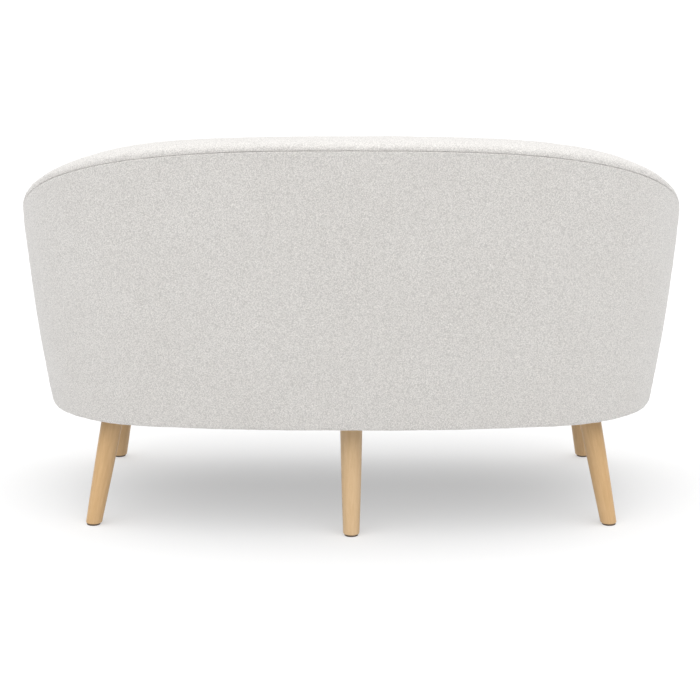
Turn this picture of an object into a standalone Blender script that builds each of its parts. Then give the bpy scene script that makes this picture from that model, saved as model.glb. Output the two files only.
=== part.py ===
"""A two-seat tub sofa on five splayed wooden legs, as the pieces it comes apart into.

Metres, +Z up. The front faces -Y, and left is -X. The origin is on the floor, under the
middle of the overall box.

The tub's wall is one surface, which every layer of the wall follows. A place on it is a
station u, a height z and an inset from the outside: u is 0 at the middle of the back, 1 where
the back's curve meets the right arm and 2 at the front of the right arm. The left side has
the same stations with a minus sign.
"""

import math

import bmesh
import bpy
from mathutils import Vector

# The tub's outline at the underside, and how it opens out towards the top.
UNDERSIDE = 0.225
BACK_HEIGHT = 0.775
BASE_HALF_WIDTH = 0.612
BASE_REAR = 0.2825
WIDEST_Y = -0.05
ROUNDNESS = 2.85
SIDE_FLARE = math.tan(math.radians(5.4))
REAR_FLARE = math.tan(math.radians(7.0))
BELLY = 0.010
ARM_TAPER = 0.020

# The rim, as the side view shows it.
RIM_SLOPE = 0.56
REAR_TOP_Y = 0.35
ARM_HEIGHT = 0.56
ARM_SLOPE = 0.09
ARM_FRONT = -0.332
ARM_FRONT_LEAN = 0.05
ARM_CORNER = 0.085
SLOPE_BLEND = 0.025
RIM_WIDTH = 0.105
CROWN = 0.018
RIM_FOAM_BASE = 0.004

# The wall's layers, as insets from the outside.
CLOTH = 0.003
GAP = 0.0004
LINER = (0.0034, 0.0075)
FRAME = (0.0095, 0.0395)
WEBBING = (0.0420, 0.0432)
FOAM_START = 0.0445
LUMBAR = 0.035

# The base frame, from the underside up.
FRAME_BOTTOM = 0.2275
RAIL_TOP = 0.300
CENTRE_RAIL_TOP = 0.290
BLOCK_TOP = 0.2575
BLOCK_DEPTH = 0.125
REAR_BLOCK = 0.66
REAR_BLOCK_HALF = 0.075
FRONT_BLOCK_X = 0.425
FRONT_BLOCK_REAR = -0.205
TOP_RAIL_DEPTH = 0.045
RAIL_JOINT = 0.60
JOINT_GAP = 0.003
FRAME_END = 1.985
POST_HALF_WIDTH = 0.035
ARM_POST = 1.84
FRONT_RAIL_Y = (-0.311, -0.281)
FRONT_RAIL_HALF = 0.549
TIMBER = 0.025
STRAP_HEIGHTS = (0.36, 0.62)
STRAP_HALF_WIDTH = 0.025
STRAP_SHORTENING = 0.25

# The seat.
DECK = (0.3175, 0.3225)
CUSHION = (0.3235, 0.445)
CUSHION_CLEARANCE = 0.004
CUSHION_FRONT = -0.338
FRONT_BOW = 0.012
ZIP_HALF_WIDTH = 0.25
ZIP_HALF_HEIGHT = 0.006
DECK_REACH = 1.85
DECK_LAP = 0.016
APRON_LAP = 0.017
APRON_SETBACK = 0.0095
SPRING_X = (-0.40, -0.24, -0.08, 0.08, 0.24, 0.40)
SPRING_WIRE = 0.0019
SPRING_HALF_WIDTH = 0.025
SPRING_BARS = 11
SPRING_RISE = 0.010
SPRING_LIFT = 0.0006
SPRING_LAP = 0.009
LOOP_TURNS = (-70, 0, 70)

# The legs: where each stands on the floor and where its top meets the underside.
LEG_TOP_RADIUS = 0.022
LEG_FOOT_RADIUS = 0.016
LEG_ROUNDING = 0.002
GLIDE_RADIUS = 0.0135
GLIDE_HEIGHT = 0.003
PLATE_HALF = 0.035
PLATE = (0.2222, 0.2247)
DUST_COVER = (0.2250, 0.2262)
DUST_INSET = 0.012
DUST_REACH = 1.95
DUST_SETBACK = 0.002
BOLT_RADIUS = 0.004
BOLT = (0.185, 0.262)
BOLT_HOLE = 0.0046
BOLT_CLEARANCE = 0.004
CUT_MARGIN = 0.01
LEGS = {
    "front_left": ((-0.516, -0.316), (-0.485, -0.271)),
    "front_right": ((0.516, -0.316), (0.485, -0.271)),
    "rear_left": ((-0.516, 0.170), (-0.474, 0.133)),
    "rear_right": ((0.516, 0.170), (0.474, 0.133)),
    "rear_centre": ((0.0, 0.240), (0.0, 0.205)),
}
ROUND_SIDES = 24
BOLT_SIDES = 12

MATERIALS = {
    "boucle_fabric": ((0.80, 0.78, 0.75), 0.95, 0.0),
    "foam": ((0.85, 0.80, 0.55), 0.95, 0.0),
    "fibreboard": ((0.45, 0.33, 0.22), 0.85, 0.0),
    "frame_timber": ((0.72, 0.55, 0.34), 0.75, 0.0),
    "leg_wood": ((0.76, 0.57, 0.34), 0.45, 0.0),
    "spring_steel": ((0.35, 0.35, 0.37), 0.35, 1.0),
    "zinc_steel": ((0.62, 0.62, 0.64), 0.40, 1.0),
    "glide_felt": ((0.16, 0.12, 0.09), 0.90, 0.0),
    "webbing": ((0.10, 0.10, 0.10), 0.80, 0.0),
    "dust_cloth": ((0.03, 0.03, 0.03), 0.95, 0.0),
}


def clear_scene():
    for obj in list(bpy.data.objects):
        bpy.data.objects.remove(obj, do_unlink=True)


def material(name):
    """The named material, made on first use."""
    found = bpy.data.materials.get(name)
    if found:
        return found
    colour, roughness, metallic = MATERIALS[name]
    made = bpy.data.materials.new(name)
    made.use_nodes = True
    shader = made.node_tree.nodes["Principled BSDF"]
    shader.inputs["Base Color"].default_value = (*colour, 1.0)
    shader.inputs["Roughness"].default_value = roughness
    shader.inputs["Metallic"].default_value = metallic
    return made


def spread(start, end, steps):
    """steps + 1 evenly spaced values from start to end."""
    return [start + (end - start) * i / steps for i in range(steps + 1)]


# ---------------------------------------------------------------- the tub's surface


def opening_out(z, base, flare):
    """How far the outline reaches at height z: a straight flare with a slight belly."""
    share = (z - UNDERSIDE) / (BACK_HEIGHT - UNDERSIDE)
    return base + flare * (z - UNDERSIDE) + 4 * BELLY * share * (1 - share)


def back_curve(angle, z):
    """A point and outward normal of the back's right quadrant, a superellipse."""
    half_width = opening_out(z, BASE_HALF_WIDTH, SIDE_FLARE)
    reach = opening_out(z, BASE_REAR, REAR_FLARE) - WIDEST_Y
    across = math.sin(angle) ** (2 / ROUNDNESS)
    along = max(math.cos(angle), 0.0) ** (2 / ROUNDNESS)
    normal = Vector((across ** (ROUNDNESS - 1) / half_width, along ** (ROUNDNESS - 1) / reach, 0))
    return Vector((half_width * across, WIDEST_Y + reach * along, z)), normal.normalized()


def arm_front(z):
    """Y of the arm's front edge, which leans forwards as it rises."""
    return ARM_FRONT + ARM_FRONT_LEAN * (ARM_HEIGHT - z)


def arm_line(share, z):
    """A point and outward normal of the right arm, share of the way to its front."""
    y = WIDEST_Y + (arm_front(z) - WIDEST_Y) * share
    x = opening_out(z, BASE_HALF_WIDTH, SIDE_FLARE) - ARM_TAPER * share**2
    return Vector((x, y, z)), Vector((1, 0, 0))


def quadrant_angles(steps):
    """Angles that cut the back's quadrant into pieces of equal length, as (share, angle)."""
    fine = spread(0, math.pi / 2, 600)
    points = [back_curve(angle, UNDERSIDE)[0] for angle in fine]
    lengths = [0.0]
    for start, end in zip(points, points[1:]):
        lengths.append(lengths[-1] + (end - start).length)
    angles = []
    for target in spread(0, lengths[-1], steps):
        place = min(range(len(fine)), key=lambda i: abs(lengths[i] - target))
        angles.append(fine[place])
    return angles


QUADRANT_TABLE = quadrant_angles(90)


def quadrant_angle(share):
    """The superellipse's angle at a share of the quadrant's length."""
    place = share * (len(QUADRANT_TABLE) - 1)
    low = min(int(place), len(QUADRANT_TABLE) - 2)
    return QUADRANT_TABLE[low] + (QUADRANT_TABLE[low + 1] - QUADRANT_TABLE[low]) * (place - low)


def outline(u, z):
    """A point of the tub's outside and the plan's outward normal there."""
    station = min(abs(u), 2.0)
    if station <= 1:
        point, normal = back_curve(quadrant_angle(station), z)
    else:
        point, normal = arm_line(station - 1, z)
    if u < 0:
        point.x, normal.x = -point.x, -normal.x
    return point, normal


def shell_point(u, z, inset=0.0):
    point, normal = outline(u, z)
    return point - normal * inset


def rim_profile(y):
    """The rim's height in the side view: the back's slope runs into the arm, whose front
    corner is round."""
    slope = BACK_HEIGHT - RIM_SLOPE * (REAR_TOP_Y - y)
    arm = ARM_HEIGHT + ARM_SLOPE * (y - ARM_FRONT)
    height = (slope + arm + math.hypot(slope - arm, SLOPE_BLEND)) / 2
    from_front = max(y - ARM_FRONT, 0.0)
    if from_front < ARM_CORNER:
        height -= ARM_CORNER - math.sqrt(ARM_CORNER**2 - (ARM_CORNER - from_front) ** 2)
    return height


def rim_height(u):
    if abs(u) >= 1:
        return rim_profile(WIDEST_Y + (ARM_FRONT - WIDEST_Y) * (abs(u) - 1))
    height = BACK_HEIGHT
    for _ in range(6):
        height = rim_profile(outline(u, height)[0].y)
    return height


def pad_inset(u, z):
    """Inset of the seat side of the inner padding, which is thickest low in the back."""
    normal = outline(u, z)[1]
    share = (z - DECK[1]) / (rim_height(u) - DECK[1])
    return RIM_WIDTH + LUMBAR * max(normal.y, 0.0) * (1 - min(max(share, 0.0), 1.0))


def wall_stations():
    """The stations that every layer of the wall shares, so that their facets are parallel."""
    arm_length = WIDEST_Y - ARM_FRONT
    corner_start = 2 - ARM_CORNER / arm_length
    turn = spread(math.pi / 2, 0, 6)
    corner = [2 - ARM_CORNER / arm_length * (1 - math.cos(a)) for a in turn]
    right = spread(0, 1, 17) + spread(1, corner_start, 3)[1:] + corner[1:]
    return [-u for u in reversed(right[1:])] + right


STATIONS = wall_stations()


def stations_between(start, end):
    """The shared stations inside a stretch, with its own two ends."""
    margin = 0.004
    inner = [u for u in STATIONS if start + margin < u < end - margin]
    return [start, *inner, end]


# ---------------------------------------------------------------- making solids


def finish(name, mesh, slot):
    """Turns a bmesh into a named object with a material, shaded smooth between flat faces."""
    bmesh.ops.recalc_face_normals(mesh, faces=mesh.faces)
    data = bpy.data.meshes.new(name)
    mesh.to_mesh(data)
    mesh.free()
    data.materials.append(material(slot))
    data.shade_smooth()
    data.set_sharp_from_angle(angle=math.radians(35))
    obj = bpy.data.objects.new(name, data)
    bpy.context.scene.collection.objects.link(obj)
    return obj


def loft(name, loops, slot):
    """A solid through loops of equal length, capped at the first and the last.

    Each side is split from a row's lower corner, or its higher one left of the middle, so
    that facing layers split alike and the two halves mirror each other.
    """
    mesh = bmesh.new()
    rows = [[mesh.verts.new(point) for point in loop] for loop in loops]
    for row, following in zip(rows, rows[1:]):
        for i, vertex in enumerate(row):
            j = (i + 1) % len(row)
            a, b, c, d = vertex, row[j], following[j], following[i]
            if (a.co.z > b.co.z) == (a.co.x > 0):
                a, b, c, d = b, c, d, a
            mesh.faces.new((a, b, c))
            mesh.faces.new((a, c, d))
    mesh.faces.new(rows[0][::-1])
    mesh.faces.new(rows[-1])
    return finish(name, mesh, slot)


def box(name, low, high, slot):
    (x0, y0, z0), (x1, y1, z1) = low, high
    floor = [(x0, y0), (x1, y0), (x1, y1), (x0, y1)]
    return loft(name, [[(x, y, z) for x, y in floor] for z in (z0, z1)], slot)


def circle(centre, radius, z, sides):
    turn = spread(0, 2 * math.pi, sides)[:-1]
    return [(centre[0] + radius * math.cos(a), centre[1] + radius * math.sin(a), z) for a in turn]


def round_solid(name, rings, slot, sides=ROUND_SIDES):
    """A solid through horizontal circles, each given as (centre, radius, z)."""
    return loft(name, [circle(centre, radius, z, sides) for centre, radius, z in rings], slot)


def cut(obj, cutter):
    """Cuts a helper's shape out of a piece. The helper stays as a wire guide."""
    cutter.hide_render = True
    cutter.display_type = "WIRE"
    modifier = obj.modifiers.new("cut_" + cutter.name, "BOOLEAN")
    modifier.operation = "DIFFERENCE"
    modifier.solver = "EXACT"
    modifier.object = cutter


def bolt_hole(obj, leg, low, high):
    """Cuts the hole for a leg's bolt through a piece that spans low to high."""
    _, top = LEGS[leg]
    rings = [(top, BOLT_HOLE, z) for z in (low - CUT_MARGIN, high + CUT_MARGIN)]
    cut(obj, round_solid(f"{obj.name}_hole_{leg}", rings, "zinc_steel", BOLT_SIDES))


def wall(name, slot, stations, insets, heights, rows):
    """A piece of the tub's wall.

    insets(u, z) gives its outer and inner insets, heights(u) its lowest and highest z.
    """
    loops = []
    for u in stations:
        levels = spread(*heights(u), rows)
        outer = [shell_point(u, z, insets(u, z)[0]) for z in levels]
        inner = [shell_point(u, z, insets(u, z)[1]) for z in reversed(levels)]
        loops.append(outer + inner)
    return loft(name, loops, slot)


# ---------------------------------------------------------------- the wall's layers


def make_outer_layers():
    """The outside cover in one piece from arm to arm, and the fibreboard that it lies on."""
    wall(
        "outer_cover",
        "boucle_fabric",
        STATIONS,
        lambda u, z: (0.0, CLOTH),
        lambda u: (UNDERSIDE, rim_height(u)),
        rows=4,
    )
    wall(
        "outer_liner",
        "fibreboard",
        STATIONS,
        lambda u, z: LINER,
        lambda u: (FRAME_BOTTOM, rim_height(u) - GAP),
        rows=4,
    )


def make_inner_layers():
    """The back and arm foam in one piece, and the inside cover on its seat side."""
    wall(
        "back_foam",
        "foam",
        STATIONS,
        lambda u, z: (FOAM_START, pad_inset(u, z) - CLOTH - GAP),
        lambda u: (CUSHION[0], rim_height(u) - GAP),
        rows=3,
    )
    wall(
        "inner_cover",
        "boucle_fabric",
        STATIONS,
        lambda u, z: (pad_inset(u, z) - CLOTH, pad_inset(u, z)),
        lambda u: (CUSHION[0], rim_height(u) - GAP),
        rows=3,
    )


def make_back_webbing():
    """Three elastic straps that carry the back foam between the posts."""
    low, high = STRAP_HEIGHTS
    for name, z in zip(("lower", "middle", "upper"), spread(low, high, 2)):
        reach = 1.0 - STRAP_SHORTENING * (z - low) / (high - low)
        wall(
            f"back_webbing_{name}",
            "webbing",
            stations_between(-reach, reach),
            lambda u, height: WEBBING,
            lambda u, middle=z: (middle - STRAP_HALF_WIDTH, middle + STRAP_HALF_WIDTH),
            rows=1,
        )


def rim_frames():
    """Along the rim's outer edge, from the left arm's foot over the back to the right arm's:
    (edge point, inward direction, upward direction)."""
    rise = spread(UNDERSIDE, rim_height(2.0), 5)[:-1]
    path = [(-2.0, z) for z in rise]
    path += [(u, rim_height(u)) for u in STATIONS]
    path += [(2.0, z) for z in reversed(rise)]
    points = [shell_point(u, z) for u, z in path]
    frames = []
    for i, (u, z) in enumerate(path):
        along = points[min(i + 1, len(points) - 1)] - points[max(i - 1, 0)]
        outward = outline(u, z)[1]
        frames.append((points[i], -outward, along.cross(outward).normalized()))
    return frames


def crown_section(width, height, first, steps):
    """(inward, up) points of a half ellipse between the rim's two seams, starting at first."""
    turn = spread(math.pi, 0, steps)
    half = width / 2 - first
    return [(width / 2 + half * math.cos(a), height * math.sin(a)) for a in turn]


def level_base(section, base):
    """The section cut off level at base, by sliding its two ends up its first and last sides."""
    (start, _), (next_to_start, rise) = section[:2]
    slide = (next_to_start - start) * base / rise
    return [(start + slide, base), *section[1:-1], (section[-1][0] - slide, base)]


def sweep_rim(name, slot, section):
    """Carries a section along the rim."""
    loops = []
    for edge, inward, up in rim_frames():
        loops.append([edge + inward * across + up * (GAP + rise) for across, rise in section])
    return loft(name, loops, slot)


def make_rim():
    """The crowned band on top of the wall: a cover over a half-round foam strip."""
    steps = 5
    outer = crown_section(RIM_WIDTH, CROWN, 0.0, steps)
    inner = crown_section(RIM_WIDTH, CROWN - CLOTH, CLOTH, steps)
    sweep_rim("rim_cover", "boucle_fabric", outer + inner[::-1])
    foam = crown_section(RIM_WIDTH, CROWN - CLOTH - GAP, CLOTH + GAP, steps)
    sweep_rim("rim_foam", "foam", level_base(foam, RIM_FOAM_BASE))


# ---------------------------------------------------------------- the timber frame


def framed(name, start, end, heights, rows=1):
    """A timber that lies in the wall's frame layer."""
    wall(name, "frame_timber", stations_between(start, end), lambda u, z: FRAME, heights, rows)


def make_rails():
    """The curved base rails and the rim's rails, which meet over the rear corner posts."""
    base = (FRAME_BOTTOM, RAIL_TOP)

    def under_rim(u):
        return rim_height(u) - TOP_RAIL_DEPTH, rim_height(u) - JOINT_GAP

    back = (-RAIL_JOINT + JOINT_GAP, RAIL_JOINT - JOINT_GAP)
    right = (RAIL_JOINT + JOINT_GAP, FRAME_END)
    left = (-right[1], -right[0])
    framed("rear_rail", *back, lambda u: base)
    framed("side_rail_left", *left, lambda u: base)
    framed("side_rail_right", *right, lambda u: base)
    framed("top_rail_back", *back, under_rim)
    framed("arm_rail_left", *left, under_rim)
    framed("arm_rail_right", *right, under_rim)


def make_posts():
    """Uprights between the base rails and the rim's rails.

    A station on an arm is half as long as one on the back, so an arm's post spans twice as
    many stations.
    """

    def between_rails(u):
        return RAIL_TOP + GAP, rim_height(u) - TOP_RAIL_DEPTH - JOINT_GAP

    back = POST_HALF_WIDTH
    arm = 2 * POST_HALF_WIDTH
    places = {
        "back_post_left": (-RAIL_JOINT, back),
        "back_post_centre": (0.0, back),
        "back_post_right": (RAIL_JOINT, back),
        "arm_post_left": (-ARM_POST, arm),
        "arm_post_right": (ARM_POST, arm),
    }
    for name, (u, half) in places.items():
        framed(name, u - half, u + half, between_rails, rows=3)


def make_cross_timbers():
    """The straight front rail and the rail under the middle of the seat."""
    y0, y1 = FRONT_RAIL_Y
    box(
        "front_rail",
        (-FRONT_RAIL_HALF, y0, FRAME_BOTTOM),
        (FRONT_RAIL_HALF, y1, RAIL_TOP),
        "frame_timber",
    )
    block_front = shell_point(0.0, FRAME_BOTTOM, BLOCK_DEPTH).y
    box(
        "centre_rail",
        (-TIMBER / 2, y1 + GAP, FRAME_BOTTOM),
        (TIMBER / 2, block_front - GAP, CENTRE_RAIL_TOP),
        "frame_timber",
    )


def make_leg_blocks():
    """Glue blocks that take the legs' bolts. The rear ones follow the curved rails."""
    rear = {"rear_left": -REAR_BLOCK, "rear_centre": 0.0, "rear_right": REAR_BLOCK}
    for leg, u in rear.items():
        block = wall(
            f"leg_block_{leg}",
            "frame_timber",
            stations_between(u - REAR_BLOCK_HALF, u + REAR_BLOCK_HALF),
            lambda u, z: (WEBBING[0], BLOCK_DEPTH),
            lambda u: (FRAME_BOTTOM, BLOCK_TOP),
            rows=1,
        )
        bolt_hole(block, leg, FRAME_BOTTOM, BLOCK_TOP)
    y0, y1 = FRONT_RAIL_Y[1] + GAP, FRONT_BLOCK_REAR
    inner, outer = FRONT_BLOCK_X, FRONT_RAIL_HALF
    for side, x0, x1 in (("left", -outer, -inner), ("right", inner, outer)):
        block = box(
            f"leg_block_front_{side}",
            (x0, y0, FRAME_BOTTOM),
            (x1, y1, BLOCK_TOP),
            "frame_timber",
        )
        bolt_hole(block, f"front_{side}", FRAME_BOTTOM, BLOCK_TOP)


# ---------------------------------------------------------------- the seat


def rail_middle_y(x):
    """Y of the middle of the base rail's top behind a place across the seat."""
    middle = sum(FRAME) / 2
    behind = (shell_point(u, RAIL_TOP, middle) for u in spread(0, 1, 200))
    return min(behind, key=lambda point: abs(point.x - abs(x))).y


def make_spring(number, x):
    """A sinuous spring: one wire in flat loops, arched from the front rail to the rear one."""
    front, rear = FRONT_RAIL_Y[1] - SPRING_LAP, rail_middle_y(x)
    pitch = (rear - front) / SPRING_BARS
    radius = pitch / 2
    straight = SPRING_HALF_WIDTH - radius
    path = [(x + SPRING_HALF_WIDTH, front)]
    for bar in range(SPRING_BARS):
        side = -1 if bar % 2 == 0 else 1
        middle = front + pitch * (bar + 0.5)
        for turn in LOOP_TURNS:
            a = math.radians(turn)
            path.append((x + side * (straight + radius * math.cos(a)), middle + radius * math.sin(a)))
    path.append((x - side * SPRING_HALF_WIDTH, rear))
    curve = bpy.data.curves.new(f"seat_spring_{number}", "CURVE")
    curve.dimensions = "3D"
    curve.bevel_depth = SPRING_WIRE
    curve.bevel_resolution = 1
    curve.use_fill_caps = True
    spline = curve.splines.new("POLY")
    spline.points.add(len(path) - 1)
    for point, (px, py) in zip(spline.points, path):
        rise = SPRING_RISE * math.sin(math.pi * (py - front) / (rear - front))
        point.co = (px, py, RAIL_TOP + SPRING_WIRE + SPRING_LIFT + rise, 1.0)
    curve.materials.append(material("spring_steel"))
    obj = bpy.data.objects.new(curve.name, curve)
    bpy.context.scene.collection.objects.link(obj)


def bowed_front(x, half_width, y):
    """Y of a front edge that bows forwards between two ends at +-half_width."""
    return y - FRONT_BOW * (1 - (x / half_width) ** 2)


def seat_outline(z, inset, front, steps=12):
    """A loop round the seat at height z: along the wall at inset(u), then across the front."""
    back = [shell_point(u, z, inset(u)) for u in STATIONS]
    half = back[-1].x
    across = [Vector((x, bowed_front(x, half, front), z)) for x in spread(half, -half, steps)]
    return back + across


def cushion_solid(name, slot, shrink, low, high):
    """The seat cushion's block, or the block inside it, shrink smaller all round."""

    def inset_at(z):
        return lambda u: pad_inset(u, z) + CUSHION_CLEARANCE + shrink

    levels = (low, (low + high) / 2, high)
    loops = [seat_outline(z, inset_at(z), CUSHION_FRONT + shrink) for z in levels]
    return loft(name, loops, slot)


def make_cushion():
    """The loose cushion: a cover with its zip opening at the back, and the foam inside."""
    low, high = CUSHION
    cover = cushion_solid("cushion_cover", "boucle_fabric", 0.0, low, high)
    cavity = cushion_solid("cushion_cavity", "foam", CLOTH, low + CLOTH, high - CLOTH)
    cut(cover, cavity)
    rear = shell_point(0.0, low, pad_inset(0.0, low)).y
    middle = (low + high) / 2
    zip_slot = box(
        "zip_slot",
        (-ZIP_HALF_WIDTH, rear - 3 * CUT_MARGIN, middle - ZIP_HALF_HEIGHT),
        (ZIP_HALF_WIDTH, rear + CUT_MARGIN, middle + ZIP_HALF_HEIGHT),
        "foam",
    )
    cut(cover, zip_slot)
    margin = CLOTH + GAP
    cushion_solid("cushion_foam", "foam", margin, low + margin, high - margin)


def make_seat_base():
    """The springs, the deck over them and the padded cloth over the front rail."""
    for number, x in enumerate(SPRING_X, start=1):
        make_spring(number, x)
    low, high = DECK
    deck_front = FRONT_RAIL_Y[1] - DECK_LAP
    loops = []
    for z in (low, high):
        back = [shell_point(u, z, FOAM_START) for u in stations_between(-DECK_REACH, DECK_REACH)]
        half = back[-1].x
        loops.append(back + [(half, deck_front, z), (-half, deck_front, z)])
    loft("seat_deck", loops, "webbing")
    make_front_apron()


def make_front_apron():
    """Wadding and cloth in one: down the front rail and over its top edge."""
    back_face = FRONT_RAIL_Y[0] - GAP
    lip_end = FRONT_RAIL_Y[1] - APRON_LAP
    face = CUSHION_FRONT + APRON_SETBACK
    heights = (UNDERSIDE, RAIL_TOP + GAP, DECK[1])
    half_widths = [shell_point(2.0, z, RIM_WIDTH + GAP).x for z in heights]
    loops = []
    for share in spread(-1, 1, 12):
        corners = [(0, "face"), (2, "face"), (2, "lip"), (1, "lip"), (1, "back"), (0, "back")]
        depth = {
            "face": bowed_front(share, 1.0, face),
            "lip": lip_end,
            "back": back_face,
        }
        loops.append([(share * half_widths[i], depth[where], heights[i]) for i, where in corners])
    loft("front_apron", loops, "boucle_fabric")


def make_dust_cover():
    """Black cloth under the frame, with a hole for each leg's bolt."""
    front = FRONT_RAIL_Y[0] + DUST_SETBACK
    loops = []
    for z in DUST_COVER:
        back = [shell_point(u, z, DUST_INSET) for u in stations_between(-DUST_REACH, DUST_REACH)]
        loops.append(back + [(back[-1].x, front, z), (back[0].x, front, z)])
    cover = loft("dust_cover", loops, "dust_cloth")
    for leg in LEGS:
        bolt_hole(cover, leg, *DUST_COVER)


# ---------------------------------------------------------------- the legs


def make_leg(name):
    """A tapered leg that splays from the underside to the floor, its bolt, its plate and the
    felt glide under it. Both ends are cut level."""
    foot, top = Vector(LEGS[name][0]), Vector(LEGS[name][1])
    low, high = GLIDE_HEIGHT + GAP, PLATE[0] - GAP

    def ring(z, shrink=0.0):
        share = z / high
        radius = LEG_FOOT_RADIUS + (LEG_TOP_RADIUS - LEG_FOOT_RADIUS) * share
        return foot.lerp(top, share), radius - shrink, z

    rings = [ring(low, LEG_ROUNDING), ring(low + LEG_ROUNDING)]
    rings += [ring(z) for z in spread(low, high, 3)[1:-1]]
    rings += [ring(high)]
    rings += [(top, BOLT_HOLE, high), (top, BOLT_HOLE, BOLT[0] - BOLT_CLEARANCE)]
    round_solid(f"leg_{name}", rings, "leg_wood")
    glide = [(foot, GLIDE_RADIUS, 0.0), (foot, GLIDE_RADIUS, GLIDE_HEIGHT)]
    round_solid(f"glide_{name}", glide, "glide_felt")
    bolt = [(top, BOLT_RADIUS, z) for z in BOLT]
    round_solid(f"hanger_bolt_{name}", bolt, "zinc_steel", BOLT_SIDES)
    plate = box(
        f"leg_plate_{name}",
        (top.x - PLATE_HALF, top.y - PLATE_HALF, PLATE[0]),
        (top.x + PLATE_HALF, top.y + PLATE_HALF, PLATE[1]),
        "zinc_steel",
    )
    bolt_hole(plate, name, *PLATE)


def main():
    clear_scene()
    make_outer_layers()
    make_inner_layers()
    make_back_webbing()
    make_rim()
    make_rails()
    make_posts()
    make_cross_timbers()
    make_leg_blocks()
    make_seat_base()
    make_cushion()
    make_dust_cover()
    for name in LEGS:
        make_leg(name)


main()
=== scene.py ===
"""The tub sofa's looks: its cloth, cushion, seams and legs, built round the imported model.

Metres, +Z up, the front faces -Y. The tub's wall is one surface: a place on it is a station u
(0 at the middle of the back, 1 where the back meets the right arm, 2 at the right arm's front,
negative on the left), a height z, and an inset from the outside.
"""

import math

import bmesh
import bpy
import numpy as np
from mathutils.kdtree import KDTree
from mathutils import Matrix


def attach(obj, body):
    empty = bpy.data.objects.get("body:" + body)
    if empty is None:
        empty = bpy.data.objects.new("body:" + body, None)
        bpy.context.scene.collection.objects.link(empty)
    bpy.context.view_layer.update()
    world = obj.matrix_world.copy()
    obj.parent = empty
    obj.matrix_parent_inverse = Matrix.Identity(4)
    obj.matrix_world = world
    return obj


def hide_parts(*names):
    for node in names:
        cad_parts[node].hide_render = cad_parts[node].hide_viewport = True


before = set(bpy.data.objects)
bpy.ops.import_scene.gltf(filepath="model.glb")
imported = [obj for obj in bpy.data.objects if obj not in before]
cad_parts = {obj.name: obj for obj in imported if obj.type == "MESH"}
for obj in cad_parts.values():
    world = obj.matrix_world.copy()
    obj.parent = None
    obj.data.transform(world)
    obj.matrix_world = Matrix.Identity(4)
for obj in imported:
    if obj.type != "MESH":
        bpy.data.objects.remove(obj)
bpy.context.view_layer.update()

# The tub's outline at the underside, and how it opens out towards the top.
UNDERSIDE = 0.225
BACK_HEIGHT = 0.775
BASE_HALF_WIDTH = 0.612
BASE_REAR = 0.2825
WIDEST_Y = -0.05
ROUNDNESS = 2.85
SIDE_FLARE = math.tan(math.radians(5.4))
REAR_FLARE = math.tan(math.radians(7.0))
BELLY = 0.010
ARM_TAPER = 0.020

# The rim, as the side view shows it.
RIM_SLOPE = 0.56
REAR_TOP_Y = 0.35
ARM_HEIGHT = 0.56
ARM_SLOPE = 0.09
ARM_FRONT = -0.332
ARM_FRONT_LEAN = 0.05
ARM_CORNER = 0.085
SLOPE_BLEND = 0.025
RIM_WIDTH = 0.105
CROWN = 0.0185
CORNER_CROWN = 0.004

# The wall's layers and the base frame.
FOAM_START = 0.0445
LUMBAR = 0.035
FRONT_RAIL_Y = (-0.311, -0.281)
RAIL_TOP = 0.300

# The seat.
DECK = (0.3175, 0.3225)
CUSHION = (0.3235, 0.445)
CUSHION_CLEARANCE = 0.004
CUSHION_FRONT = -0.338
FRONT_BOW = 0.012
ZIP_LENGTH = 0.50
APRON_SETBACK = 0.0095
APRON_SWELL = 0.003
SPRING_X = (-0.40, -0.24, -0.08, 0.08, 0.24, 0.40)

# The legs: where each stands on the floor and where its top meets the underside.
LEG_TOP_RADIUS = 0.022
LEG_FOOT_RADIUS = 0.016
LEG_ROUNDING = 0.0025
LEG_SWELL = 0.0005
LEG_HEIGHTS = (0.0034, 0.2218)
GLIDE_RADIUS = 0.0135
GLIDE_HEIGHT = 0.003
GLIDE_BEVEL = 0.0006
LEGS = {
    "front_left": ((-0.516, -0.316), (-0.485, -0.271)),
    "front_right": ((0.516, -0.316), (0.485, -0.271)),
    "rear_left": ((-0.516, 0.170), (-0.474, 0.133)),
    "rear_right": ((0.516, 0.170), (0.474, 0.133)),
    "rear_centre": ((0.0, 0.240), (0.0, 0.205)),
}

# The cloths, and the uneven face of the looped one.
CLOTH = 0.0022
DECK_SHEET = 0.0015
DECK_DIP = 0.0026
DUST_SHEET = 0.0009
DUST_TOP = 0.2262
DUST_SLACK = 0.005
NUB_RELIEF = 0.00045
NUB_SIZE = 0.011
NUB_PATCH_SIZE = 0.045

# How fine the cloth's grids are. Close to a seam the rows stand at set distances from it.
STEP = 0.0045
SEAM_SAMPLE = 0.0012
SEAM_REACH = 0.012
SEAM_ROWS = (0.0085, 0.006, 0.0043, 0.003, 0.002, 0.0012, 0.0006, 0.0002, 0.0)

# The outside cloth: how it turns in at the seam, and how it rolls under the frame, sagging a
# little at the rear corners. HEM holds the inset and rise of each row under the frame.
PANEL_ROLL = 0.0020
SEAM_TUCK = 0.003
TUCK_RISE = 0.0012
PROUD = 0.0008
PANEL_SLACK = 0.0006
EDGE_ROLL = (0.0035, 0.007)
HEM = ((0.034, 0.0020), (0.024, 0.0019), (0.0125, 0.0016), (0.0085, 0.0008), (0.0055, 0.0002))
CORNER_SAG = 0.004
SAG_HEIGHT = 0.08

# The rim band: its curled edges, the fullness of its arch and its rounded ends.
BAND_CURL = 0.0024
BAND_FULLNESS = 2.25
BAND_FOOT = 0.012
BAND_LIFT = 0.0005
BAND_END = 0.004
BAND_PUCKER = 0.0009
BAND_WAVE = 0.0008

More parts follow.
